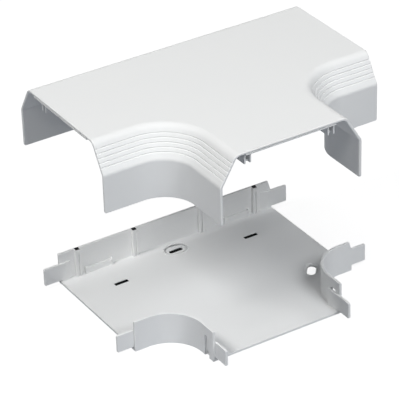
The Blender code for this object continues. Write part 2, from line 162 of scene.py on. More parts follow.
DISH_SLOPE_RUN = 3.2 * MM
DISH_BEAD_WIDTH = 1.2 * MM
DISH_BEAD_HEIGHT = 0.5 * MM
OVAL_PLACE = (82.7 * MM, -47.8 * MM)
OVAL_ANGLE = np.radians(50.7)
OVAL_LENGTH = 16.0 * MM
OVAL_WIDTH = 8.0 * MM
OVAL_SINK_RUN = 2.2 * MM
OVAL_SINK_DEPTH = 0.9 * MM

# Softened edges and how finely the curves are divided
EASE = 0.35 * MM
FLOOR_FILLET = 0.8 * MM
EASE_STEPS = 4
CREASE_STEPS = 10
CORNER_STEPS = 8
NOTCH_STEPS = 64
ROUND_END_STEPS = 20
GROOVE_STEPS = 8
SHARP_ANGLE = np.radians(38.0)
FLAT_FACE_WEIGHT = 90

# How far solids run into each other, and how far a cutter reaches past a surface
BITE = 0.3 * MM
OVERCUT = 1.0 * MM

# Sizes that follow from the ones above
NOTCH_CENTRE = COVER_HALF_WIDTH + NOTCH_RADIUS
SLOPE_RUN = COVER_HALF_WIDTH - PLATE_HALF_WIDTH
SLOPE_RISE = COVER_HEIGHT - SKIRT_HEIGHT
PLATE_UNDERSIDE = COVER_HEIGHT - PLATE_THICKNESS
BASE_INSET = COVER_HALF_WIDTH - BASE_HALF_WIDTH
BASE_RUN_END = base_high.x - TONGUE_REACH
BASE_BRANCH_END = -base_low.y - TONGUE_REACH
WALL_INNER_FACE = BASE_HALF_WIDTH - BASE_WALL
KEY_SLOT_PLACE = (0.0, BASE_HALF_WIDTH - KEY_SLOT_BACK_OFFSET)

# The plastic's two tones and roughness, and the painted shade, nearly black, inside the sockets' holes
COVER_WHITE = (0.82, 0.82, 0.815)
COVER_CLOUD = (0.805, 0.81, 0.81)
COVER_ROUGHNESS = 0.62
# The base's two tones are painted lighter than the cover's: painted light that makes up for the shadow the
# cover casts on the base
BASE_WHITE_PAINTED_LIGHTER = (0.895, 0.895, 0.89)
BASE_CLOUD_PAINTED_LIGHTER = (0.88, 0.885, 0.885)
BASE_ROUGHNESS = 0.58
SOCKET_PAINTED_SHADE = (0.06, 0.06, 0.06)

# The plastic's texture: waves to a metre of each pattern, its height, and its part in tone and gloss
CLOUD_SCALE = 22.0
SWELL_SCALE = 45.0
PORE_SCALE = 420.0
GRAIN_SCALE = 1500.0
SWELL_HEIGHT = 0.05 * MM
PORE_HEIGHT = 0.01 * MM
GRAIN_HEIGHT = 0.006 * MM
CLOUD_TONE = 0.7
PORE_TONE = 0.3
CLOUD_GLOSS = 0.08
PORE_GLOSS = 0.12
PLASTIC_IOR = 1.47

# The stage floor, and the painted shade under the base: a dark patch of it, seen only through the slots
FLOOR_HALF_SIDE = 6.0
FLOOR_DROP = 0.2 * MM
FLOOR_TONE = (0.25, 0.25, 0.25)
FLOOR_BOUNCE = (0.225, 0.245, 0.285)
FLOOR_GLOW = 0.87
PAINTED_SHADE_TONE = (0.02, 0.02, 0.02)
PAINTED_SHADE_HALF_LENGTH = 98.0 * MM
PAINTED_SHADE_HALF_WIDTH = 46.0 * MM
PAINTED_SHADE_MIDDLE = 16.0 * MM

# Light: each lamp's direction from the object, size in metres, power in watts and colour
ROOM_STRENGTH = 0.01
ROOM_COLOUR = (0.9, 0.95, 1.0)
OBJECT_MIDDLE = (0.0, -35.0 * MM, 110.0 * MM)
LAMP_DISTANCE = 3.0
LAMPS = (
    ("left_lamp", (-0.643, 0.0, 0.766), 0.7, 37.0, (1.0, 1.0, 0.985)),
    ("corner_lamp", (-0.492, -0.413, 0.766), 0.7, 10.5, (1.0, 1.0, 0.985)),
    ("front_lamp", (0.123, -0.696, 0.707), 1.3, 43.5, (0.965, 0.985, 1.0)),
    ("low_lamp", (0.05, -0.985, 0.164), 1.3, 10.0, (0.965, 0.985, 1.0)),
    ("top_lamp", (0.0, 0.0, 1.0), 0.9, 17.0, (1.0, 1.0, 1.0)),
)

# Camera
PICTURE_SIDE = 400
SENSOR_WIDTH = 36.0
FOCAL_PIXELS = 2400.0
VIEW_AZIMUTH = np.radians(-31.4)
VIEW_ELEVATION = np.radians(31.0)
VIEW_ROLL = np.radians(-1.8)
AIM_RIGHT = -5.0 * MM
AIM_UP = 68.6 * MM
CAMERA_DISTANCE = 2.16
NEAREST_SEEN = 0.1
FARTHEST_SEEN = 50.0


def unit(vector):
    """The vector at length one."""
    return vector / np.linalg.norm(vector)


def rounded(corners, radii, steps=CREASE_STEPS, closed=True):
    """An outline whose corners are arcs that touch both sides. A radius of zero keeps the corner."""
    corners = [np.array(corner, dtype=float) for corner in corners]
    outline = []
    for place, (corner, radius) in enumerate(zip(corners, radii)):
        at_end = place in (0, len(corners) - 1)
        if radius == 0.0 or (at_end and not closed):
            outline.append(corner[None])
            continue
        back = unit(corners[place - 1] - corner)
        ahead = unit(corners[(place + 1) % len(corners)] - corner)
        turn = np.pi - np.arccos(np.dot(back, ahead))
        centre = corner + unit(back + ahead) * radius / np.cos(turn / 2)
        reach = radius * np.tan(turn / 2)
        share = np.linspace(0.0, 1.0, steps + 1)[:, None]
        spread = np.sin((1 - share) * turn) * (corner + back * reach - centre)
        spread += np.sin(share * turn) * (corner + ahead * reach - centre)
        outline.append(centre + spread / np.sin(turn))
    return np.vstack(outline)


def stadium(centre, length, width, angle=0.0):
    """A long hole's outline: two half circles joined by straight sides, turned by the angle."""
    sweep = np.linspace(-QUARTER, QUARTER, ROUND_END_STEPS + 1)
    cap = np.column_stack([(length - width) / 2 + width / 2 * np.cos(sweep), width / 2 * np.sin(sweep)])
    turn = np.array([[np.cos(angle), np.sin(angle)], [-np.sin(angle), np.cos(angle)]])
    return np.vstack([cap, -cap]) @ turn + np.array(centre)


def rectangle(low, high):
    """The four corners of a rectangle between two opposite corners."""
    return np.array([low, (high[0], low[1]), high, (low[0], high[1])])


def drawn_in(outline, amount):
    """The outline with every side moved inward by the amount, along the mitre at each corner."""
    side = np.roll(outline, -1, axis=0) - outline
    side /= np.linalg.norm(side, axis=1)[:, None]
    area = np.sum(outline[:, 0] * np.roll(outline[:, 1], -1) - outline[:, 1] * np.roll(outline[:, 0], -1))
    inward = np.column_stack([-side[:, 1], side[:, 0]]) * np.sign(area)
    before = np.roll(inward, 1, axis=0)
    mitre = (inward + before) / (1 + np.sum(inward * before, axis=1))[:, None]
    return outline + mitre * amount


def grid_faces(index):
    """Quads between neighbouring rows and columns of a grid of vertex numbers."""
    quads = np.stack([index[:-1, :-1], index[1:, :-1], index[1:, 1:], index[:-1, 1:]], axis=-1)
    return quads.reshape(-1, 4).tolist()


def loft(rings):
    """Walls between successive closed rings, with a face over the first ring and over the last."""
    rings = np.array(rings)
    index = np.arange(rings.shape[0] * rings.shape[1]).reshape(rings.shape[:2])
    closed = np.hstack([index, index[:, :1]])
    return rings.reshape(-1, 3), grid_faces(closed) + [index[0].tolist(), index[-1].tolist()]


PLAN = (np.zeros(3), np.array([1.0, 0.0, 0.0]), np.array([0.0, 1.0, 0.0]), np.array([0.0, 0.0, 1.0]))


def slab(outline, low, high, axes=PLAN, ease=EASE):
    """A plate: its outline carried from low to high, with a quarter round of radius ease on both rims.

    The outline's two coordinates and the level run along the three directions in axes.
    """
    sweep = np.linspace(0.0, QUARTER, EASE_STEPS + 1)
    inset = ease * (1 - np.sin(sweep))
    rise = ease * (1 - np.cos(sweep))
    origin, first, second, third = axes
    rings = []
    for amount, level in zip(np.append(inset, inset[::-1]), np.append(low + rise, high - rise[::-1])):
        ring = drawn_in(outline, amount)
        rings.append(origin + ring[:, :1] * first + ring[:, 1:] * second + level * third)
    return loft(rings)


def plug(outlines, levels):
    """A cutter through a plate, from outlines of equally many points at rising levels."""
    rings = [np.column_stack([ring, np.full(len(ring), level)]) for ring, level in zip(outlines, levels)]
    return loft(rings)


def opening_axes(run_end, branch_end, height=0.0):
    """For each opening: its middle, the way out of it, up, and the way across it."""
    up = np.array([0.0, 0.0, 1.0])
    plans = {
        "left": ((-run_end, 0.0, height), (-1.0, 0.0, 0.0), (0.0, 1.0, 0.0)),
        "right": ((run_end, 0.0, height), (1.0, 0.0, 0.0), (0.0, 1.0, 0.0)),
        "branch": ((0.0, -branch_end, height), (0.0, -1.0, 0.0), (1.0, 0.0, 0.0)),
    }
    return {name: (np.array(m), np.array(o), up, np.array(a)) for name, (m, o, a) in plans.items()}


def round_the_corner(side, distance, inset, run_end):
    """The plan point at a distance from the run's opening and at an inset from the cover's outer face.

    It runs straight along the run, round a quarter circle about the notch's centre whose radius is the
    notch radius plus the inset, and straight along the branch.
    """
    run = run_end - NOTCH_CENTRE
    turn = np.clip((distance - run) / NOTCH_RADIUS, 0.0, QUARTER)
    after = np.maximum(distance - run - NOTCH_RADIUS * QUARTER, 0.0)
    radius = NOTCH_RADIUS + inset
    x = NOTCH_CENTRE + run - np.minimum(distance, run) - radius * np.sin(turn)
    y = radius * np.cos(turn) - NOTCH_CENTRE - after
    return np.stack(np.broadcast_arrays(side * x, y), axis=-1)


def along_the_back(distance, inset, run_end):
    """The plan point at a distance from the left opening and at an inset from the cover's back face."""
    return np.stack(np.broadcast_arrays(distance - run_end, COVER_HALF_WIDTH - inset), axis=-1)


def corner_length(run_end, branch_end):
    """The distance from the run's opening to the branch's, round the corner."""
    return run_end - NOTCH_CENTRE + NOTCH_RADIUS * QUARTER + branch_end - NOTCH_CENTRE


def corner_stations(run_steps, branch_steps, run_end, branch_end):
    """Distances along a corner: steps from the run's opening, the arc, steps up to the branch's opening."""
    arc = run_end - NOTCH_CENTRE + NOTCH_RADIUS * np.linspace(0.0, QUARTER, NOTCH_STEPS + 1)
    return np.concatenate([run_steps, arc, corner_length(run_end, branch_end) - branch_steps[::-1]])


def quarter_round(distance, radius):
    """How far a rounded edge has fallen away at a distance from its end: radius less the circle's height."""
    gap = np.clip(radius - distance, 0.0, radius)
    return radius - np.sqrt(radius ** 2 - gap ** 2)


def rim_steps(radius=EASE):
    """Distances from an end that follow its rounded rim, from zero to the radius."""
    return radius * (1 - np.sin(np.linspace(QUARTER, 0.0, EASE_STEPS + 1)))


def slope_directions():
    """Up along the cover's slope, and square to it into the wall, as inset and height."""
    along = unit(np.array([SLOPE_RUN, SLOPE_RISE]))
    return along, np.array([along[1], -along[0]])


def cover_section(grooved):
    """The wall's section from the plate's underside down the inside, round the foot and up the outside.

    Points are inset and height. On the outer slope each groove sinks by its depth times the squared
    cosine of the way across it. The second array is the way out of the wall, square to the section.
    """
    along, inward = slope_directions()
    crease = np.array([0.0, SKIRT_HEIGHT])
    on_slope = crease + inward * COVER_WALL
    low = on_slope + along * (COVER_WALL - on_slope[0]) / along[0]
    high = on_slope + along * (PLATE_UNDERSIDE - on_slope[1]) / along[1]
    plate_start = SLOPE_RUN + UPPER_CREASE_RADIUS
    corners = [(plate_start, PLATE_UNDERSIDE), high, low, (COVER_WALL, 0.0), (0.0, 0.0), crease]
    radii = [0.0, UPPER_CREASE_RADIUS - PLATE_THICKNESS, LOWER_CREASE_RADIUS - COVER_WALL]
    radii += [FOOT_ROUND, FOOT_ROUND, LOWER_CREASE_RADIUS]
    slope = np.hypot(SLOPE_RUN, SLOPE_RISE)
    groove_centres = np.linspace(GROOVE_FOOT_MARGIN, slope - GROOVE_TOP_MARGIN, GROOVE_COUNT)
    across = np.linspace(-GROOVE_WIDTH / 2, GROOVE_WIDTH / 2, GROOVE_STEPS + 1)
    if grooved:
        places = (groove_centres[:, None] + across).ravel()
        corners.extend(crease + places[:, None] * along)
        radii.extend(np.zeros(len(places)))
    corners.extend([(SLOPE_RUN, COVER_HEIGHT), (plate_start, COVER_HEIGHT)])
    radii.extend([UPPER_CREASE_RADIUS, 0.0])
    points = rounded(corners, radii, closed=False)
    tangent = np.gradient(points, axis=0)
    way_out = np.column_stack([-tangent[:, 1], tangent[:, 0]])
    way_out /= np.linalg.norm(way_out, axis=1)[:, None]
    if grooved:
        height = (points - crease) @ along
        outer_slope = np.abs((points - crease) @ inward) < TINY
        offset = np.abs(height[:, None] - groove_centres).min(axis=1)
        share = np.clip(offset / (GROOVE_WIDTH / 2), 0.0, 1.0)
        points = points - way_out * (GROOVE_DEPTH * np.cos(QUARTER * share) ** 2 * outer_slope)[:, None]
    way_out[[0, -1]] = ((0.0, -1.0), (0.0, 1.0))
    return points, way_out


def cover_skin(grooved, path, distance, total):
    """A grid of the section carried along an edge.

    Near both openings the wall's rim is rounded and the skirt's foot rises round its corner.
    """
    points, way_out = cover_section(grooved)
    from_end = np.minimum(distance, total - distance)[:, None, None]
    section = points - way_out * quarter_round(from_end, END_ROUND)
    height = section[..., 1]
    rise = quarter_round(from_end[..., 0], SKIRT_CORNER_RADIUS)
    height = height + rise * np.clip(1 - height / SKIRT_HEIGHT, 0.0, 1.0)
    plan = path(distance[:, None], section[..., 0])
    return np.concatenate([plan, height[..., None] + COVER_FOOT], axis=-1)


def cover_shell():
    """Skirts, slopes and plate as one thin closed shell, open below and at its three ends."""
    sweep = np.linspace(0.0, QUARTER, CORNER_STEPS + 1)
    corner = SKIRT_CORNER_RADIUS * (1 - np.cos(sweep))
    past_rim = corner[corner > 1.2 * END_ROUND]
    steps = np.concatenate([rim_steps(END_ROUND), past_rim])
    back_total = 2 * RUN_HALF_LENGTH
    side_total = corner_length(RUN_HALF_LENGTH, BRANCH_REACH)
    side_stations = corner_stations(steps, steps, RUN_HALF_LENGTH, BRANCH_REACH)
    back_stations = np.concatenate([steps, back_total - steps[::-1]])
    skins = {"back": cover_skin(False, lambda s, i: along_the_back(s, i, RUN_HALF_LENGTH),
                                back_stations, back_total)}
    for name, side in (("left", -1.0), ("right", 1.0)):
        skins[name] = cover_skin(True, lambda s, i: round_the_corner(side, s, i, RUN_HALF_LENGTH),
                                 side_stations, side_total)
    points = np.concatenate([skin.reshape(-1, 3) for skin in skins.values()])
    index = {}
    start = 0
    faces = []
    for name, skin in skins.items():
        index[name] = np.arange(start, start + skin.shape[0] * skin.shape[1]).reshape(skin.shape[:2])
        start = index[name][-1, -1] + 1
        faces.extend(grid_faces(index[name]))

    rim = EASE_STEPS
    for column in (0, -1):
        plate = [index["back"][rim:-rim, column], index["right"][rim:-rim, column]]
        plate.append(index["left"][rim:-rim, column][::-1])
        faces.append(np.concatenate(plate).tolist())
    ends = (
        (index["back"], index["left"]),
        (index["back"][::-1], index["right"]),
        (index["left"][::-1], index["right"][::-1]),
    )
    for first, second in ends:
        for column in (0, -1):
            across = np.stack([first[: rim + 1, column], second[: rim + 1, column]], axis=1)
            faces.extend(grid_faces(across))
        faces.append(np.concatenate([first[0], second[0][::-1]]).tolist())
    return points, faces


def rib_pairs():
    """The opening's axes and the place across it of each pair of ribs: two at the branch, one by the back."""
    axes = opening_axes(RUN_HALF_LENGTH, BRANCH_REACH, COVER_FOOT)
    from_middle = PLATE_HALF_WIDTH - RIB_SIDE_MARGIN_BRANCH
    pairs = [(axes["branch"], -from_middle), (axes["branch"], from_middle)]
    from_middle = PLATE_HALF_WIDTH - RIB_SIDE_MARGIN_RUN
    return pairs + [(axes["left"], from_middle), (axes["right"], from_middle)]


def cover_underside():
    """What hangs under the plate at each opening: the lip, and the paired ribs with their ties.

    A narrow groove parts the lip's bead from the plate's edge.
    """
    parts = []
    half = PLATE_HALF_WIDTH - LIP_SIDE_MARGIN
    back = -LIP_SETBACK - LIP_THICKNESS
    lip = [
        (back, PLATE_UNDERSIDE - LIP_DEPTH),
        (-LIP_BEAD_SETBACK, PLATE_UNDERSIDE - LIP_DEPTH),
        (-LIP_BEAD_SETBACK, PLATE_UNDERSIDE - LIP_GROOVE_HEIGHT),
        (-LIP_GROOVE_DEPTH, PLATE_UNDERSIDE - LIP_GROOVE_HEIGHT),
        (-LIP_GROOVE_DEPTH, PLATE_UNDERSIDE + BITE),
        (back, PLATE_UNDERSIDE + BITE),
    ]
    lip = rounded(lip, [EASE, EASE, 0.0, 0.0, 0.0, 0.0], EASE_STEPS)
    for axes in opening_axes(RUN_HALF_LENGTH, BRANCH_REACH, COVER_FOOT).values():
        parts.append(slab(lip, -half, half, axes))
    foot = PLATE_UNDERSIDE - RIB_DEPTH
    rib = rectangle((-RIB_SETBACK - RIB_LENGTH, foot), (-RIB_SETBACK, PLATE_UNDERSIDE + BITE))
    rib = rounded(rib, [2 * EASE, 2 * EASE, 0.0, 0.0], EASE_STEPS)
    end = RIB_SETBACK + RIB_TIE_SETBACK
    tie = rectangle((-end - RIB_TIE_LENGTH, foot + BITE / 2), (-end, foot + RIB_TIE_HEIGHT))
    gap = RIB_SPACING / 2 - RIB_THICKNESS / 2
    for axes, middle in rib_pairs():
        parts.append(slab(rib, middle - gap - RIB_THICKNESS, middle - gap, axes))
        parts.append(slab(rib, middle + gap, middle + gap + RIB_THICKNESS, axes))
        parts.append(slab(tie, middle - gap - 2 * BITE, middle + gap + 2 * BITE, axes, BITE / 2))
    return parts


def base_wall(path, distance, total, low, from_slant):
    """A wall of rectangular section carried along a path, its four long edges eased.

    Low is its foot at each station, which jumps up where a window starts and down where it ends. From_slant
    is each station's distance from the end that slants, where the top comes down to the tongues' top.
    Both faces carry a row of points at the tongues' top, so that they stay flat beside a window.
    """
    from_end = np.minimum(distance, total - distance)
    steepness = (BASE_WALL_HEIGHT - TONGUE_TOP) / WALL_END_SLANT
    high = np.minimum(BASE_WALL_HEIGHT, TONGUE_TOP + from_slant * steepness)
    shrink = quarter_round(from_end, EASE)
    sweep = np.linspace(0.0, QUARTER, EASE_STEPS + 1)
    inner = BASE_WALL - EASE
    split = np.minimum(TONGUE_TOP + EASE, high - EASE)
    insets = []
    heights = []
    for centre, level, start in ((EASE, high - EASE, QUARTER), (EASE, low + EASE, 2 * QUARTER),
                                 (inner, low + EASE, 3 * QUARTER), (inner, high - EASE, 0.0)):
        angle = start + sweep
        radius = (EASE - shrink)[:, None]
        insets.append(centre + radius * np.cos(angle))
        heights.append(level[:, None] + radius * np.sin(angle))
        if start in (QUARTER, 3 * QUARTER):
            middle = shrink if start == QUARTER else BASE_WALL - shrink
            insets.append(middle[:, None])
            heights.append(np.maximum(split, low + EASE)[:, None])
    inset = np.hstack(insets) + BASE_INSET
    plan = path(distance[:, None], inset)
    return loft(np.concatenate([plan, np.hstack(heights)[..., None]], axis=-1))


def base_walls():
    """The straight back wall and the two curved corner walls with their windows.

    The walls' ends at the right opening slant, and the others stand upright.
    """
    steps = np.append(rim_steps(), WALL_END_SLANT)
    total = 2 * BASE_RUN_END
    stations = np.concatenate([steps, total - steps[::-1]])
    back = base_wall(lambda s, i: along_the_back(s, i, BASE_RUN_END), stations, total,
                     np.zeros(len(stations)), total - stations)
    parts = [carved(back, socket_cutters())]
    window = np.array([WINDOW_SETBACK, WINDOW_SETBACK, WINDOW_SETBACK + WINDOW_LENGTH,
                       WINDOW_SETBACK + WINDOW_LENGTH])
    branch_steps = np.concatenate([steps, window])
    stations = corner_stations(steps, branch_steps, BASE_RUN_END, BASE_BRANCH_END)
    low = np.zeros(len(stations))
    over_window = len(stations) - len(branch_steps) + np.array([1, 2])
    low[over_window] = TONGUE_TOP
    total = corner_length(BASE_RUN_END, BASE_BRANCH_END)
    for side in (-1.0, 1.0):
        path = lambda s, i: round_the_corner(side, s, i, BASE_RUN_END)
        parts.append(base_wall(path, stations, total, low, stations if side > 0 else total + stations))
    return parts


def base_floor():
    """The tee-shaped floor, whose edge runs just into the walls, with its holes."""
    inset = BASE_INSET + BASE_WALL - BITE
    stations = corner_stations(np.zeros(1), np.zeros(1), BASE_RUN_END, BASE_BRANCH_END)
    left = round_the_corner(-1.0, stations, inset, BASE_RUN_END)
    right = round_the_corner(1.0, stations, inset, BASE_RUN_END)
    back = along_the_back(np.array([2 * BASE_RUN_END, 0.0]), inset, BASE_RUN_END)
    floor = slab(np.vstack([back, left, right[::-1]]), 0.0, BASE_FLOOR)
    return carved(floor, slot_cutters() + long_hole_cutters() + middle_slot_cutters())


def base_fillets():
    """Small fillets between the floor and the walls' inner faces: concave quarter rounds, carried along."""
    parts = []
    sweep = np.linspace(0.0, QUARTER, EASE_STEPS + 1)
    inset = FLOOR_FILLET * (1 - np.sin(sweep))
    height = BASE_FLOOR + FLOOR_FILLET * (1 - np.cos(sweep))
    buried = np.array([(-BITE, BASE_FLOOR + FLOOR_FILLET), (-BITE, BASE_FLOOR - BITE),
                       (FLOOR_FILLET, BASE_FLOOR - BITE)])
    section = np.vstack([np.column_stack([inset, height]), buried])
    section[:, 0] += BASE_INSET + BASE_WALL
    paths = [
        (lambda s, i: along_the_back(s, i, BASE_RUN_END), np.array([EASE, 2 * BASE_RUN_END - EASE])),
    ]
    ends = np.array([EASE])
    stations = corner_stations(ends, ends, BASE_RUN_END, BASE_BRANCH_END)
    paths.append((lambda s, i: round_the_corner(-1.0, s, i, BASE_RUN_END), stations))
    paths.append((lambda s, i: round_the_corner(1.0, s, i, BASE_RUN_END), stations))
    for path, distance in paths:
        plan = path(distance[:, None], section[None, :, 0])
        level = np.broadcast_to(section[None, :, 1:], plan.shape[:2] + (1,))
        parts.append(loft(np.concatenate([plan, level], axis=-1)))
    return parts


def base_tongues():
    """Six plates just inside the walls' ends, standing on the floor and reaching out of the openings.

    The run's four grow out of the walls by a ramp.
    """
    parts = []
    foot = BASE_FLOOR + TONGUE_FOOT_GAP
    for name, axes in opening_axes(BASE_RUN_END, BASE_BRANCH_END).items():
        root = BRANCH_TONGUE_ROOT if name == "branch" else RUN_TONGUE_ROOT
        top = TONGUE_TOP - WINDOW_SLIT if name == "branch" else TONGUE_TOP
        corners = [
            (-root, BASE_FLOOR - BITE),
            (-TONGUE_RELIEF, BASE_FLOOR - BITE),
            (-TONGUE_RELIEF, foot),
            (TONGUE_REACH, foot),
            (TONGUE_REACH, top),
            (-root, top),
        ]
        radii = [0.0, 0.0, 0.0, TONGUE_TIP_RADIUS, TONGUE_TIP_RADIUS, EASE]
        outline = rounded(corners, radii, EASE_STEPS)
        for side in (-1.0, 1.0):
            levels = sorted([side * (WALL_INNER_FACE + BITE), side * (WALL_INNER_FACE - TONGUE_THICKNESS)])
            parts.append(slab(outline, *levels, axes))
            if name != "branch":
                parts.append(tongue_ramp(axes, side))
    return parts


def tongue_ramp(axes, side):
    """The wedge by which a run tongue grows out of the wall's inner face."""
    middle, way_out, up, across = axes
    wall = side * WALL_INNER_FACE
    buried = wall + side * BITE
    face = wall - side * (TONGUE_THICKNESS - TONGUE_RAMP_SINK)
    start = -RUN_TONGUE_ROOT - RUN_TONGUE_RAMP
    end = 2 * EASE - RUN_TONGUE_ROOT
    plan = np.array([(start, buried), (start, wall), (-RUN_TONGUE_ROOT, face), (end, face), (end, buried)])
    return slab(plan, BASE_FLOOR - BITE, TONGUE_TOP, (middle, way_out, across, up), BITE / 2)


def socket_places():
    """Where the sockets stand along the back wall."""
    return [np.array([side * place, 0.0]) for side in (-1.0, 1.0) for place in SOCKET_PLACES]


def socket_cutters():
    """The square hole down each socket, which also takes a little from the back wall behind it."""
    half = SOCKET_WIDTH / 2 - SOCKET_WALL
    low = (-half, WALL_INNER_FACE - SOCKET_DEPTH + SOCKET_WALL)
    plan = rectangle(low, (half, WALL_INNER_FACE + SOCKET_INTO_WALL))
    levels = (BASE_WALL_HEIGHT - SOCKET_HOLE_DEPTH, BASE_WALL_HEIGHT + OVERCUT)
    return [plug([plan + place] * 2, levels) for place in socket_places()]


def base_sockets():
    """Four columns on the inside of the back wall: a grooved foot, and a square cup near the wall's top."""
    half = SOCKET_WIDTH / 2
    groove = SOCKET_GROOVE_WIDTH / 2
    front = WALL_INNER_FACE - SOCKET_DEPTH
    back = WALL_INNER_FACE + BITE
    groove_floor = front + SOCKET_GROOVE_DEPTH
    notched = [(-half, front), (-groove, front), (-groove, groove_floor), (groove, groove_floor),
               (groove, front), (half, front), (half, back), (-half, back)]
    foot_plan = rounded(notched, [EASE, EASE, 0.0, 0.0, EASE, EASE, 0.0, 0.0], EASE_STEPS)
    cup_plan = rounded(rectangle((-half, front), (half, back)), [EASE, EASE, 0.0, 0.0], EASE_STEPS)
    top = BASE_WALL_HEIGHT - SOCKET_DROP
    foot_top = BASE_WALL_HEIGHT - SOCKET_CUP_HEIGHT
    parts = []
    for place, cutter in zip(socket_places(), socket_cutters()):
        parts.append(slab(foot_plan + place, BASE_FLOOR - 2 * EASE, foot_top + BITE))
        parts.append(carved(slab(cup_plan + place, foot_top, top), [cutter]))
    return parts


def base_rails():
    """Low rails along the foot of the back wall, with a deeper and taller block at both ends."""
    parts = []
    foot = BASE_FLOOR - 2 * EASE
    back = WALL_INNER_FACE + 2 * EASE
    rail = rectangle((RAIL_START, WALL_INNER_FACE - RAIL_DEPTH), (RAIL_START + RAIL_LENGTH, back))
    starts = (RAIL_START - BITE, RAIL_START + RAIL_LENGTH - RAIL_STOP_LENGTH + BITE)
    for side in (-1.0, 1.0):
        parts.append(slab(rail * (side, 1.0), foot, BASE_FLOOR + RAIL_HEIGHT))
        for start in starts:
            stop = rectangle((start, WALL_INNER_FACE - RAIL_STOP_DEPTH), (start + RAIL_STOP_LENGTH, back))
            parts.append(slab(stop * (side, 1.0), foot, BASE_FLOOR + RAIL_HEIGHT + RAIL_STOP_RISE))
    return parts


def flare():
    """How far a hole's mouth widens, and how high, along the quarter round at the surface."""
    sweep = np.linspace(0.0, QUARTER, EASE_STEPS + 1)
    return EASE * (1 - np.cos(sweep)), EASE * (np.sin(sweep) - 1)


def flared_plug(foot, mouth, low, surface):
    """A cutter from the foot outline at its low level to the mouth, which widens as it meets the surface."""
    widening, drop = flare()
    outlines = [foot] + [drawn_in(mouth, -amount) for amount in widening]
    outlines.append(outlines[-1])
    return plug(outlines, np.concatenate([[low], surface + drop, [surface + OVERCUT]]))


def sunk_hole(centre, size, mouth_size, angle, slope_run, depth, surface):
    """Two cutters: a long hole straight through, and the tapered seat above it."""
    hole = stadium(centre, *size, angle)
    foot = stadium(centre, mouth_size[0] - 2 * slope_run, mouth_size[1] - 2 * slope_run, angle)
    mouth = stadium(centre, *mouth_size, angle)
    return [plug([hole, hole], (-OVERCUT, surface + OVERCUT)),
            flared_plug(foot, mouth, BASE_FLOOR - depth, surface)]


def relief(hole, surface):
    """A cutter that thins the floor from below round a hole, down to a thin edge under the surface."""
    wide = drawn_in(hole, -SLOT_RELIEF)
    return plug([wide, wide], (-OVERCUT, surface - SLOT_EDGE))


def slot_cutters():
    """The two straight fixing slots, with the floor thinned from below round them."""
    cutters = []
    half = np.array([SLOT_LENGTH, SLOT_WIDTH]) / 2
    for side in (-1.0, 1.0):
        centre = np.array(SLOT_PLACE) * (side, 1.0)
        slot = rounded(rectangle(centre - half, centre + half), [EASE] * 4, EASE_STEPS)
        cutters += [flared_plug(slot, slot, -OVERCUT, BASE_FLOOR), relief(slot, BASE_FLOOR)]
    return cutters


def long_hole_cutters():
    """The two slanted long holes, each in a shallow seat."""
    cutters = []
    size = np.array([OVAL_LENGTH, OVAL_WIDTH])
    for side in (-1.0, 1.0):
        centre = np.array(OVAL_PLACE) * (side, 1.0)
        cutters += sunk_hole(centre, size, size + 2 * OVAL_SINK_RUN, side * OVAL_ANGLE,
                             OVAL_SINK_RUN, OVAL_SINK_DEPTH, BASE_FLOOR)
    return cutters


def middle_slot_cutters():
    """The slot near the back wall, and the dish round it, which opens through the raised ring."""
    size = (KEY_SLOT_LENGTH, KEY_SLOT_WIDTH)
    cutters = sunk_hole(KEY_SLOT_PLACE, size, (DISH_LENGTH, DISH_WIDTH), 0.0, DISH_SLOPE_RUN, DISH_DEPTH,
                        BASE_FLOOR + DISH_BEAD_HEIGHT)
    return cutters + [relief(stadium(KEY_SLOT_PLACE, *size), BASE_FLOOR - DISH_DEPTH)]


def dish_bead():
    """The low raised ring round the middle slot's dish."""
    outline = stadium(KEY_SLOT_PLACE, DISH_LENGTH + 2 * DISH_BEAD_WIDTH, DISH_WIDTH + 2 * DISH_BEAD_WIDTH)
    ring = slab(outline, BASE_FLOOR - 2 * EASE, BASE_FLOOR + DISH_BEAD_HEIGHT)
    return carved(ring, middle_slot_cutters())


def closed_mesh(name, points, faces):
    """A mesh from points and faces, with doubles merged and every face turned outward."""
    mesh = bpy.data.meshes.new(name)
    mesh.from_pydata(np.asarray(points).tolist(), [], faces)
    body = bmesh.new()
    body.from_mesh(mesh)
    bmesh.ops.remove_doubles(body, verts=body.verts, dist=TINY)
    bmesh.ops.recalc_face_normals(body, faces=body.faces)
    body.to_mesh(mesh)
    body.free()
    return mesh


def carved(solid, cutters):
    """A solid with the cutters taken out of it, as points and faces again."""
    tools = bpy.data.collections.new("tools")
    for points, faces in cutters:
        tools.objects.link(bpy.data.objects.new("tool", closed_mesh("tool", points, faces)))
    blank = bpy.data.objects.new("blank", closed_mesh("blank", *solid))
    bpy.context.scene.collection.objects.link(blank)
    cut = blank.modifiers.new("cut", "BOOLEAN")
    cut.operation = "DIFFERENCE"
    cut.solver = "EXACT"
    cut.operand_type = "COLLECTION"
    cut.collection = tools
    mesh = bpy.data.meshes.new_from_object(blank.evaluated_get(bpy.context.evaluated_depsgraph_get()))
    points = np.empty(len(mesh.vertices) * 3)
    mesh.vertices.foreach_get("co", points)
    faces = [list(face.vertices) for face in mesh.polygons]
    for leftover in [blank, *tools.objects]:
        bpy.data.objects.remove(leftover, do_unlink=True)
    bpy.data.collections.remove(tools)
    return points.reshape(-1, 3), faces


def moulding(name, solids):
    """One piece from closed solids that run a little into each other. Its flat faces are shaded flat."""
    points = np.concatenate([part_points for part_points, _ in solids])
    starts = np.cumsum([0] + [len(part_points) for part_points, _ in solids])
    faces = [[start + corner for corner in face] for start, (_, part) in zip(starts, solids) for face in part]
    mesh = closed_mesh(name, points, faces)
    mesh.shade_smooth()
    mesh.set_sharp_from_angle(angle=SHARP_ANGLE)
    piece = bpy.data.objects.new(name, mesh)
    bpy.context.scene.collection.objects.link(piece)
    weighted = piece.modifiers.new("flat_faces_stay_flat", "WEIGHTED_NORMAL")
    weighted.keep_sharp = True
    weighted.weight = FLAT_FACE_WEIGHT
    return piece


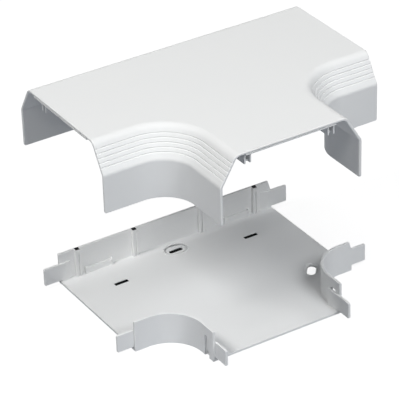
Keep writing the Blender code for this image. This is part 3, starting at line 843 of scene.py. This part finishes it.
class Number:
    """A number that varies over a surface: a socket that can be used in sums."""

    def __init__(self, finish, socket):
        self.finish = finish
        self.socket = socket

    def sum(self, operation, first, second):
        """The Math node's result for an operation on two values."""
        node = self.finish.node("ShaderNodeMath", {"operation": operation}, {0: first, 1: second})
        return Number(self.finish, node.outputs[0])

    def __add__(self, other):
        return self.sum("ADD", self, other)

    def __radd__(self, other):
        return self.sum("ADD", other, self)

    def __sub__(self, other):
        return self.sum("SUBTRACT", self, other)

    def __rsub__(self, other):
        return self.sum("SUBTRACT", other, self)

    def __mul__(self, other):
        return self.sum("MULTIPLY", self, other)

    def __rmul__(self, other):
        return self.sum("MULTIPLY", other, self)

    def __lt__(self, other):
        return self.sum("LESS_THAN", self, other)

    def size(self):
        """The number without its sign."""
        return self.sum("ABSOLUTE", self, 0.0)


class Finish:
    """A material or a world, built node by node."""

    def __init__(self, owner):
        owner.use_nodes = True
        self.owner = owner
        self.tree = owner.node_tree
        self.tree.nodes.clear()

    def node(self, kind, settings, inputs):
        """A node of a type, its settings made first, then its sockets given values or links."""
        node = self.tree.nodes.new(kind)
        for key, value in settings.items():
            setattr(node, key, value)
        for key, value in inputs.items():
            if isinstance(value, Number):
                value = value.socket
            if isinstance(value, bpy.types.NodeSocket):
                self.tree.links.new(value, node.inputs[key])
            else:
                node.inputs[key].default_value = value
        return node

    def number(self, kind, settings, inputs, output=0):
        """The same, for a node whose output is a number."""
        return Number(self, self.node(kind, settings, inputs).outputs[output])


def painted_shade_in_sockets(finish, place):
    """One inside the sockets' holes, where the plastic is painted nearly black as painted shade, and zero
    elsewhere.
    """
    parts = finish.node("ShaderNodeSeparateXYZ", {}, {0: place})
    across, along, height = (Number(finish, output) for output in parts.outputs)
    half = SOCKET_WIDTH / 2 - SOCKET_WALL + SOCKET_PAINTED_SHADE_MARGIN
    near, far = ((across.size() - middle).size() < half for middle in SOCKET_PLACES)
    front = WALL_INNER_FACE - SOCKET_DEPTH + SOCKET_WALL - SOCKET_PAINTED_SHADE_MARGIN
    back = WALL_INNER_FACE + SOCKET_INTO_WALL + SOCKET_PAINTED_SHADE_MARGIN
    low = BASE_WALL_HEIGHT - SOCKET_HOLE_DEPTH - SOCKET_PAINTED_SHADE_MARGIN
    within = (near + far) * ((along - (front + back) / 2).size() < (back - front) / 2)
    return within * (1.0 - (height < low))


def white_plastic(name, colour, cloud_colour, roughness, shaded=None):
    """Rigid white moulding plastic, matte, with painted shade, nearly black, where the shaded function says
    one.

    Its colour drifts a little towards a second tone in soft clouds, its gloss is broken by fine pores,
    and its surface carries the tool's spark texture over a very shallow unevenness of the wall.
    """
    finish = Finish(bpy.data.materials.new(name))
    place = finish.node("ShaderNodeTexCoord", {}, {}).outputs["Object"]
    clouds = finish.number("ShaderNodeTexNoise", {}, {"Vector": place, "Scale": CLOUD_SCALE, "Detail": 3.0})
    grain = finish.number("ShaderNodeTexNoise", {}, {"Vector": place, "Scale": GRAIN_SCALE, "Detail": 2.0})
    pores = finish.number("ShaderNodeTexNoise", {}, {"Vector": place, "Scale": PORE_SCALE, "Detail": 4.0})
    swell = finish.number("ShaderNodeTexNoise", {}, {"Vector": place, "Scale": SWELL_SCALE, "Detail": 1.0})
    drift = clouds * CLOUD_TONE + pores * PORE_TONE
    tone = finish.node("ShaderNodeMix", {"data_type": "RGBA"},
                       {0: drift, 6: (*colour, 1.0), 7: (*cloud_colour, 1.0)})
    # Painted shade: the sockets' holes are painted nearly black, standing in for the shade deep inside them
    if shaded:
        tone = finish.node("ShaderNodeMix", {"data_type": "RGBA"},
                           {0: shaded(finish, place), 6: tone.outputs[2], 7: (*SOCKET_PAINTED_SHADE, 1.0)})
    height = grain * GRAIN_HEIGHT + pores * PORE_HEIGHT + swell * SWELL_HEIGHT
    bump = finish.node("ShaderNodeBump", {}, {"Strength": 1.0, "Distance": 1.0, "Height": height})
    shader = finish.node("ShaderNodeBsdfPrincipled", {}, {
        "Base Color": tone.outputs[2],
        "Roughness": roughness + (pores - 0.5) * PORE_GLOSS + (clouds - 0.5) * CLOUD_GLOSS,
        "Normal": bump.outputs[0],
        "IOR": PLASTIC_IOR,
        "Subsurface Weight": 0.0,
    })
    finish.node("ShaderNodeOutputMaterial", {}, {"Surface": shader.outputs[0]})
    return finish.owner


def seen_directly(finish):
    """One for rays from the camera, by way of gloss or glass too, and zero for rays that carry light."""
    path = finish.node("ShaderNodeLightPath", {}, {})
    seen = Number(finish, path.outputs["Is Camera Ray"])
    seen = seen.sum("MAXIMUM", seen, path.outputs["Is Glossy Ray"])
    return seen.sum("MAXIMUM", seen, path.outputs["Is Transmission Ray"])


def pale_floor():
    """A pale floor that shows white in the open and a little darker in the object's shadow.

    Close under the base, where it is seen only through the slots, it is painted dark as painted shade. What it
    throws back on the object is a little blue.
    """
    finish = Finish(bpy.data.materials.new("pale_floor"))
    lit = finish.node("ShaderNodeBsdfDiffuse", {}, {"Color": (*FLOOR_BOUNCE, 1.0)})
    soft = finish.node("ShaderNodeBsdfDiffuse", {}, {"Color": (*FLOOR_TONE, 1.0)})
    glow = finish.node("ShaderNodeEmission", {}, {"Strength": FLOOR_GLOW})
    bright = finish.node("ShaderNodeAddShader", {}, {0: soft.outputs[0], 1: glow.outputs[0]})
    dark = finish.node("ShaderNodeBsdfDiffuse", {}, {"Color": (*PAINTED_SHADE_TONE, 1.0)})
    place = finish.node("ShaderNodeTexCoord", {}, {}).outputs["Object"]
    parts = finish.node("ShaderNodeSeparateXYZ", {}, {0: place})
    across = Number(finish, parts.outputs[0])
    along = Number(finish, parts.outputs[1])
    # Painted shade: the floor is painted nearly black under the base, where only shade shows through the slots
    under = (across.size() < PAINTED_SHADE_HALF_LENGTH) * ((along - PAINTED_SHADE_MIDDLE).size() < PAINTED_SHADE_HALF_WIDTH)
    shown = finish.node("ShaderNodeMixShader", {}, {0: under, 1: bright.outputs[0], 2: dark.outputs[0]})
    seen = seen_directly(finish)
    mix = finish.node("ShaderNodeMixShader", {}, {0: seen, 1: lit.outputs[0], 2: shown.outputs[0]})
    finish.node("ShaderNodeOutputMaterial", {}, {"Surface": mix.outputs[0]})
    return finish.owner


def room_light(strength, colour):
    """Even light from all round, with white behind the object."""
    world = bpy.data.worlds.new("room")
    bpy.context.scene.world = world
    finish = Finish(world)
    even = finish.node("ShaderNodeBackground", {}, {"Color": (*colour, 1.0), "Strength": strength})
    white = finish.node("ShaderNodeBackground", {}, {"Color": (1.0, 1.0, 1.0, 1.0), "Strength": 1.0})
    seen = seen_directly(finish)
    mix = finish.node("ShaderNodeMixShader", {}, {0: seen, 1: even.outputs[0], 2: white.outputs[0]})
    finish.node("ShaderNodeOutputWorld", {}, {"Surface": mix.outputs[0]})


def soft_lamp(name, direction, size, power, colour):
    """A square soft lamp that stands in a direction from the object's middle and faces it."""
    lamp = bpy.data.lights.new(name, "AREA")
    lamp.shape = "SQUARE"
    lamp.size = size
    lamp.energy = power
    lamp.color = colour
    holder = bpy.data.objects.new(name, lamp)
    bpy.context.scene.collection.objects.link(holder)
    away = Vector(direction).normalized()
    place = Vector(OBJECT_MIDDLE) + away * LAMP_DISTANCE
    turn = away.to_track_quat("Z", "Y").to_matrix().to_4x4()
    holder.matrix_world = Matrix.Translation(place) @ turn


def stage_floor():
    """A wide floor just under the base."""
    side = FLOOR_HALF_SIDE
    mesh = bpy.data.meshes.new("stage_floor")
    corners = rectangle((-side, -side), (side, side))
    mesh.from_pydata([(x, y, -FLOOR_DROP) for x, y in corners], [], [(0, 1, 2, 3)])
    floor = bpy.data.objects.new("stage_floor", mesh)
    mesh.materials.append(pale_floor())
    bpy.context.scene.collection.objects.link(floor)


def camera():
    """The camera at the photograph's angle: azimuth, elevation and a slight roll about its own axis."""
    back = Vector((np.sin(VIEW_AZIMUTH) * np.cos(VIEW_ELEVATION),
                   -np.cos(VIEW_AZIMUTH) * np.cos(VIEW_ELEVATION), np.sin(VIEW_ELEVATION)))
    right = Vector((0.0, 0.0, 1.0)).cross(back).normalized()
    up = back.cross(right)
    rolled_right = right * np.cos(VIEW_ROLL) + up * np.sin(VIEW_ROLL)
    rolled_up = up * np.cos(VIEW_ROLL) - right * np.sin(VIEW_ROLL)
    lens = bpy.data.cameras.new("camera")
    lens.sensor_width = SENSOR_WIDTH
    lens.lens = FOCAL_PIXELS / PICTURE_SIDE * SENSOR_WIDTH
    lens.clip_start = NEAREST_SEEN
    lens.clip_end = FARTHEST_SEEN
    holder = bpy.data.objects.new("camera", lens)
    bpy.context.scene.collection.objects.link(holder)
    turn = Matrix((rolled_right, rolled_up, back)).transposed().to_4x4()
    place = rolled_right * AIM_RIGHT + rolled_up * AIM_UP + back * CAMERA_DISTANCE
    holder.matrix_world = Matrix.Translation(place) @ turn
    bpy.context.scene.camera = holder


def dress(piece, body, node, material):
    """Give a moulding its finish, set it on its body and let it stand for its node."""
    piece.data.materials.clear()
    piece.data.materials.append(material)
    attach(piece, body)
    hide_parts(node)


cover = moulding("cover_moulding", [cover_shell()] + cover_underside())
base = moulding("base_moulding", [base_floor(), dish_bead(), *base_walls(), *base_fillets(), *base_tongues(),
                                  *base_sockets(), *base_rails()])
dress(cover, "cover", "cover",
      white_plastic("cover_white", COVER_WHITE, COVER_CLOUD, COVER_ROUGHNESS))
dress(base, "base", "base",
      white_plastic("base_white", BASE_WHITE_PAINTED_LIGHTER, BASE_CLOUD_PAINTED_LIGHTER, BASE_ROUGHNESS, painted_shade_in_sockets))

stage_floor()
room_light(ROOM_STRENGTH, ROOM_COLOUR)
for lamp in LAMPS:
    soft_lamp(*lamp)
camera()
bpy.context.scene.view_settings.view_transform = "Standard"
